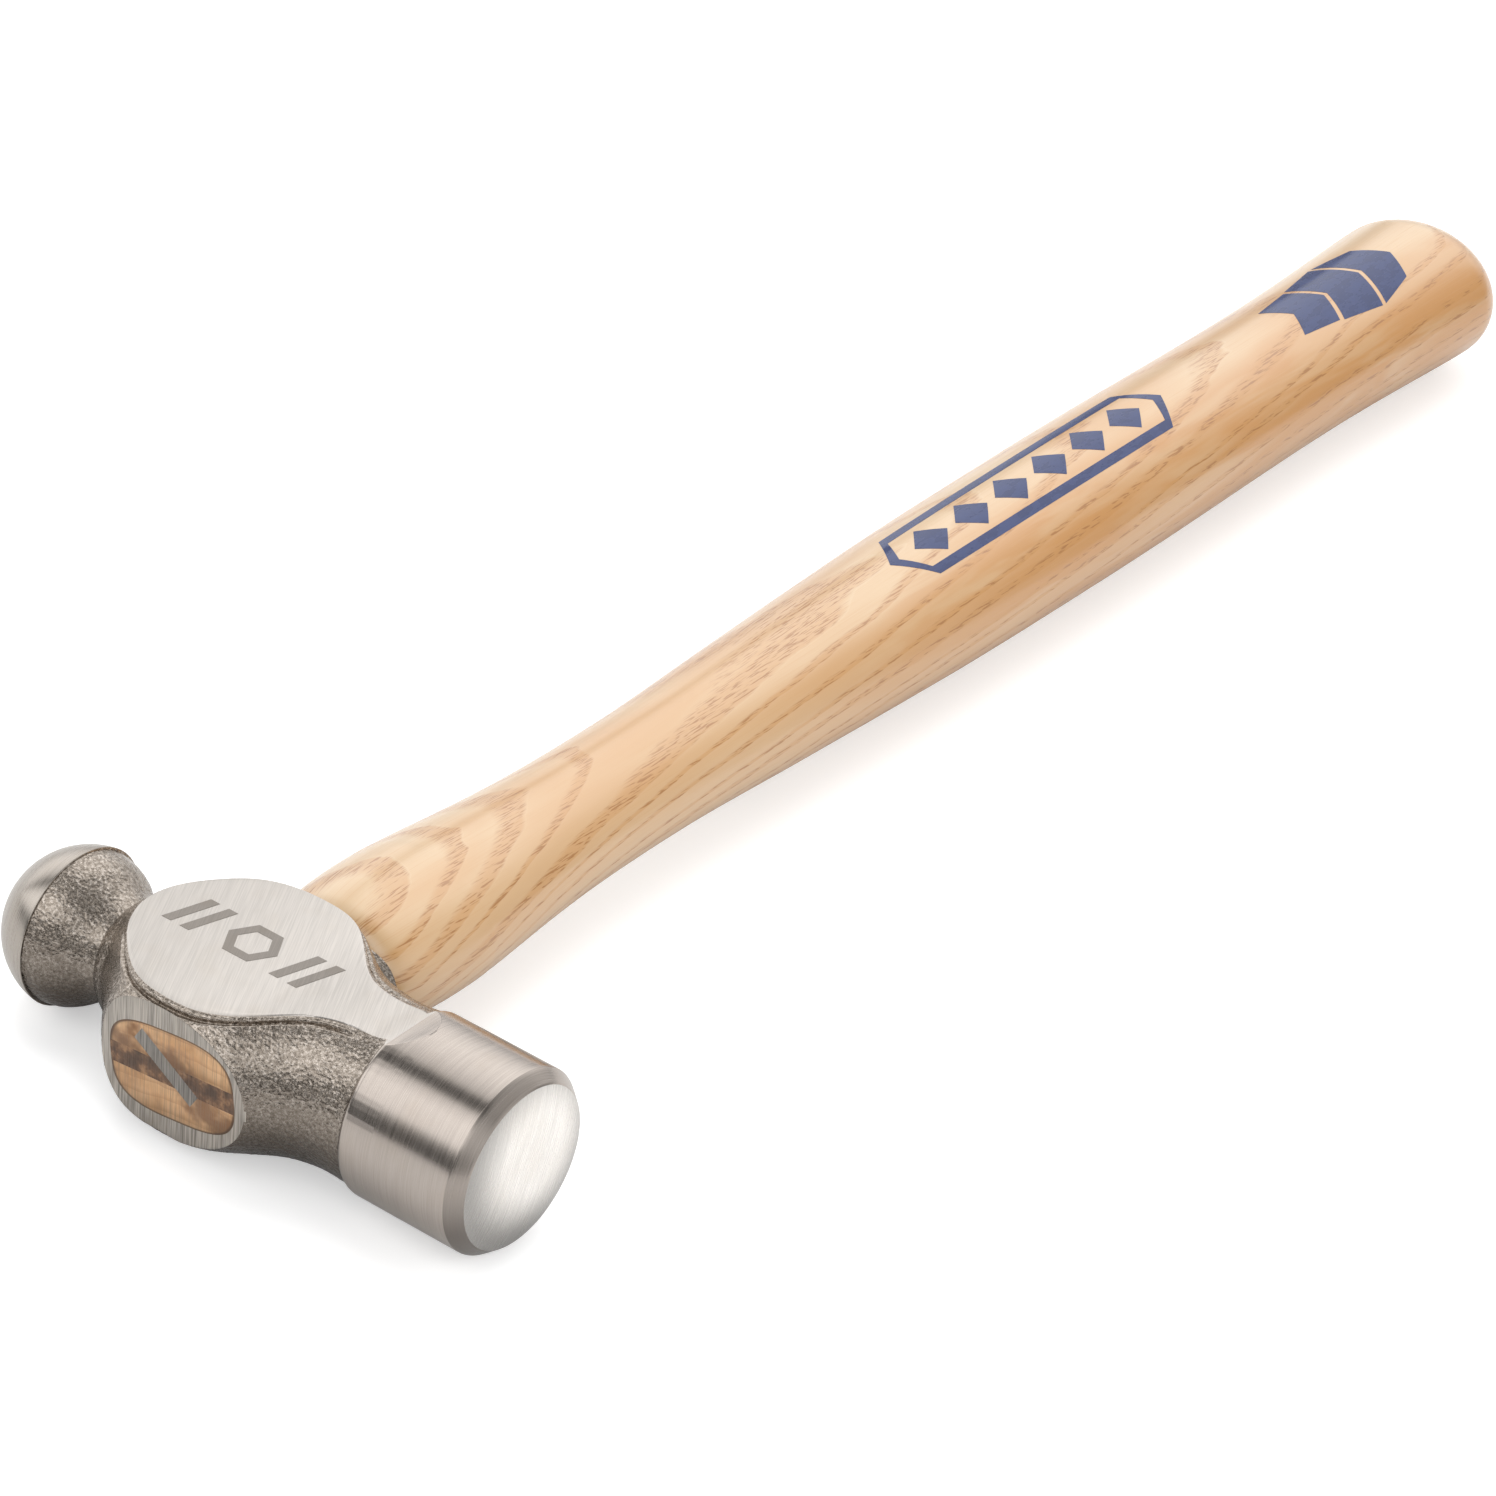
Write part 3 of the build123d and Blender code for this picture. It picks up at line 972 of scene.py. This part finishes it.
def rail_mark(start, end, half, rail, count):
    """Two rails that close to a point at each end, with a row of diamonds between them."""
    point = half * 0.9
    nose_width = rail * 1.35
    diamond_share, diamond_gap = 0.40, 1.1
    left, right, inner = start + point, end - point, half - rail
    upper = [(left, half), (right, half), (right, inner), (left, inner)]
    nose = [(right, half), (end, 0), (end - nose_width, 0), (right, inner)]
    tail = [(left, half), (left, inner), (start + nose_width, 0), (start, 0)]
    shapes = [upper, nose, tail]
    shapes += [mirrored(shape) for shape in shapes]
    pitch = (right - left) / count
    long, high = pitch * diamond_share, inner - diamond_gap
    for number in range(count):
        middle = left + pitch * (number + 0.5)
        shapes.append([(middle - long, 0), (middle, high), (middle + long, 0), (middle, -high)])
    return shapes


def banded_plate(start, end, half, gap):
    """A long six-sided plate in three slanted bands."""
    waist = half * 0.62
    lean = half * 0.5
    cuts = [start, start + (end - start) * 0.34, start + (end - start) * 0.70]
    ends = [cuts[1] - gap, cuts[2] - gap, end]
    sizes = [(waist, waist * 1.22), (waist * 1.3, half), (half, half * 0.72)]
    shapes = []
    for low, high, (low_half, high_half) in zip(cuts, ends, sizes):
        upper = [(low - lean, low_half), (high - lean, high_half), (high, 0), (low, 0)]
        shapes += [upper, mirrored(upper)[::-1]]
    return shapes


def etched_mark(centre, side, width, reach):
    """A six-sided ring between pairs of slanted bars."""
    shapes = []
    inner = side - width
    for number in range(6):
        first, second = (math.radians(60 * n) for n in (number, number + 1))
        ring = [(r * math.cos(t), r * math.sin(t)) for r, t in ((side, first), (side, second))]
        ring += [(inner * math.cos(t), inner * math.sin(t)) for t in (second, first)]
        shapes.append([(centre[0] + u, centre[1] + v) for u, v in ring])
    lean = 1.2
    bar_half = side * 0.86
    low, high = centre[1] - bar_half, centre[1] + bar_half
    for offset in (-reach, -reach + 2 * width, reach - 2 * width, reach):
        left = centre[0] + offset - width / 2
        right = left + width
        lower = [(left - lean, low), (right - lean, low)]
        shapes.append([*lower, (right + lean, high), (left + lean, high)])
    return shapes


def film_blue():
    """Deep blue printed film, glossy, faintly mottled and thinner in places."""
    deep, blue, thin = (0.018, 0.030, 0.100), (0.028, 0.044, 0.130), (0.08, 0.10, 0.20)
    graph = Graph(bpy.data.materials.new("blue_film"))
    x, y, z = graph.place()
    cloud = graph.noise(graph.vector(x, graph.mul(y, 0.4), z), 0.5, 3.0, 0.6)
    speck = graph.noise(graph.vector(x, y, z), 4.0, 2.0, 0.6)
    colour = graph.mix(graph.spread(cloud, 0.35, 0.65), deep, blue)
    colour = graph.mix(graph.spread(speck, 0.62, 0.75, 0.0, 0.22), colour, thin)
    graph.set(Base_Color=colour, Roughness=graph.spread(cloud, 0.3, 0.7, 0.22, 0.34))
    graph.set(Coat_Weight=0.6, Coat_Roughness=0.05, Specular_IOR_Level=0.1)
    graph.set(Normal=graph.bump(speck, 0.01, 0.15))
    return graph.owner


# Sizes in mm: start, end, half height and so on, in the order that each function names.
rail_size = (160, 244, 6.6, 1.9, 6)
plate_size = (290, 325, 8.0, 1.1)
etched_size = ((-1.5, 1.5), 4.8, 1.8, 12.4)
etched_tone = (0.27, 0.245, 0.22)

blue_film = film_blue()
film("rail_mark", rail_mark(*rail_size), on_handle, blue_film, 0.8)
film("plate_mark", banded_plate(*plate_size), on_handle, blue_film, 0.8)
etched_steel = brushed("etched_steel", etched_tone, 0.42, cheek_lines, 0.6)
cheek_mark = film("cheek_mark", etched_mark(*etched_size), on_cheek, etched_steel, 1.0)

# ---- wedges -------------------------------------------------------------------------------------


def wedge_wood():
    """Dark stained wood, mottled, with the same belt scratches as the steel round it."""
    dark, stained, bare = (0.05, 0.025, 0.013), (0.125, 0.060, 0.029), (0.36, 0.19, 0.088)
    dust = (0.20, 0.13, 0.085)
    graph = Graph(bpy.data.materials.new("stained_wedge_wood"))
    x, y, z = graph.place()
    blot = graph.noise(graph.vector(x, y, z), 0.42, 3.0, 0.65)
    brush = wood_brush(graph, x, z)
    colour = graph.ramp(blot, [(0.36, dark), (0.52, stained), (0.68, bare)])
    colour = graph.mix(graph.mul(brush, 0.5), colour, dust)
    graph.set(Base_Color=colour, Roughness=0.55, Normal=graph.bump(brush, 0.03, 0.7))
    return graph.owner


strip_tone = (0.27, 0.252, 0.23)
strip_look = dict(tarnish=0.2, contrast=0.3, pitch=3.2)
wedge_materials = {
    "wooden_wedge": wedge_wood(),
    "steel_wedge": brushed("wedge_steel", strip_tone, 0.42, eye_face_lines, 0.9, **strip_look),
}
for node, material in wedge_materials.items():
    mesh = nodes[node].data
    mesh.materials.clear()
    mesh.materials.append(material)

# ---- floor, lights and camera --------------------------------------------------------------------


floor_size = 6000.0
floor_gap = 0.02
floor_glow = 0.45  # the floor's own light, for the camera alone


def resting_plane():
    """Origin and normal of the plane that the poll, the ball and the butt touch."""
    poll = Vector((poll_start + poll_round, 0, head_low.z))
    ball = Vector((ball_x, 0, axis_z - ball_radius))
    butt = Vector((0, butt_y - 13, handle_low.z))
    normal = (ball - poll).cross(butt - poll).normalized()
    return poll, normal if normal.z > 0 else -normal


def build_floor():
    """A plain pale floor under the three places where the hammer rests."""
    pale, paler = (0.72, 0.72, 0.72), (0.74, 0.74, 0.74)
    s = floor_size
    graph = Graph(bpy.data.materials.new("studio_floor"))
    mottle = graph.noise(graph.node("ShaderNodeTexCoord", out=3), 3.0, 2.0)
    graph.set(Base_Color=graph.mix(mottle, pale, paler), Roughness=0.7)
    seen = graph.node("ShaderNodeLightPath")
    graph.set(Emission_Color=(1.0, 1.0, 1.0, 1.0), Emission_Strength=graph.mul(seen, floor_glow))
    corners = [(-s, -s, 0), (s, -s, 0), (s, s, 0), (-s, s, 0)]
    floor = new_object("floor", corners, [(0, 1, 2, 3)], [graph.owner])
    origin, normal = resting_plane()
    turn = Vector((0, 0, 1)).rotation_difference(normal).to_matrix().to_4x4()
    floor.matrix_world = Matrix.Translation((origin - Vector((0, 0, floor_gap))) * MM) @ turn
    floor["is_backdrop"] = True


def soft_light(name, place, target, size, power):
    """Area light that lights and shadows, but isn't mirrored by the steel."""
    light = bpy.data.lights.new(name, "AREA")
    light.shape = "RECTANGLE"
    light.size, light.size_y = (s * MM for s in size)
    light.energy = power
    made = bpy.data.objects.new(name, light)
    bpy.context.scene.collection.objects.link(made)
    made.location = Vector(place) * MM
    made.rotation_mode = "QUATERNION"
    made.rotation_quaternion = (Vector(target) - Vector(place)).to_track_quat("-Z", "Y")
    made.visible_glossy = False


# Light from the room by its turn round X: -90 is the horizon at -Y, 0 overhead, 90 the horizon at +Y.
room_boxes = [
    (-90, 0.12),
    (-78, 0.14),
    (-70, 0.35),
    (-60, 1.65),
    (-35, 1.85),
    (-21, 1.35),
    (-14, 0.12),
    (-4, 0.12),
    (4, 1.10),
    (25, 1.60),
    (45, 1.80),
    (62, 1.55),
    (75, 1.15),
    (90, 0.60),
]
brightest = 2.0
backdrop = 1.06
gap_x = -0.60  # a dark gap across the boxes, at this X of the direction
gap_grey, end_dark, end_grey, fill_grey = 0.06, 0.03, 0.42, 0.9  # as shares of the brightest
fill_turn = math.radians(-47)  # a bright box in front of the striking face, at this turn and X
fill_x = 0.5


def build_world():
    """White behind the object. Round it, long soft boxes parallel to the head with dark gaps between
    them. They fade towards +X, where the striking face looks, but for one bright box."""
    world = bpy.data.worlds.new("studio")
    bpy.context.scene.world = world
    studio = Graph(world, "Background")
    split = studio.tree.nodes.new("ShaderNodeSeparateXYZ")
    studio.put(split.inputs[0], studio.node("ShaderNodeTexCoord"))
    x, y, z = split.outputs
    turn = studio.math("ARCTAN2", y, z)
    share = studio.add(studio.mul(turn, 1 / math.pi), 0.5)
    stops = [(degrees / 180 + 0.5, (light / brightest,) * 3) for degrees, light in room_boxes]
    from_gap = studio.size(studio.sub(x, gap_x))
    from_turn = studio.size(studio.sub(turn, fill_turn))
    from_fill = studio.size(studio.sub(x, fill_x))
    across = studio.spread(from_turn, 0.12, 0.35, 1.0, 0.0)
    fill = studio.mul(across, studio.spread(from_fill, 0.06, 0.22, 1.0, 0.0))
    layers = [
        (studio.spread(from_gap, 0.01, 0.05, 0.8, 0.0), gap_grey),
        (studio.spread(x, 0.05, 0.5, 0.0, 0.68), end_dark),
        (studio.spread(x, 0.60, 0.78, 0.0, 0.75), end_grey),
        (fill, fill_grey),
    ]
    room = studio.ramp(share, stops)
    for over, grey in layers:
        room = studio.mix(over, room, (grey,) * 3)
    seen = studio.node("ShaderNodeLightPath")
    studio.set(Color=studio.mix(seen, room, (backdrop / brightest,) * 3), Strength=brightest)


camera_turns = (34.0864, 32.3865, 5.775)  # azimuth from -Y towards +X, elevation and roll, in degrees
camera_place = (0.394348, -0.458879, 0.450029)  # metres
camera_lens = 120.09
sensor_width = 36


def build_camera():
    """The photograph's view, from the head's end and a little above."""
    azimuth, elevation, roll = (math.radians(d) for d in camera_turns)
    level = Vector((math.cos(azimuth), math.sin(azimuth), 0))
    away = Vector((math.sin(azimuth), -math.cos(azimuth), 0))
    back = away * math.cos(elevation) + Vector((0, 0, math.sin(elevation)))
    rise = back.cross(level)
    right = math.cos(roll) * level + math.sin(roll) * rise
    up = math.cos(roll) * rise - math.sin(roll) * level
    camera = bpy.data.cameras.new("camera")
    camera.sensor_width = sensor_width
    camera.lens = camera_lens
    camera.clip_start, camera.clip_end = 0.01, 50
    made = bpy.data.objects.new("camera", camera)
    bpy.context.scene.collection.objects.link(made)
    axes = Matrix((right, up, back)).transposed().to_4x4()
    made.matrix_world = Matrix.Translation(camera_place) @ axes
    bpy.context.scene.camera = made


light_target = (0, 130, 0)

build_floor()
build_world()
soft_light("key", (-270, 340, 940), light_target, (700, 640), 3.7)
soft_light("side", (700, 60, 480), light_target, (900, 500), 3.0)
build_camera()
bpy.context.scene.view_settings.view_transform = "Standard"

boxes = {"cad": cad_box, "visual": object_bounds()}
{name: [list(low), list(high)] for name, (low, high) in boxes.items()}
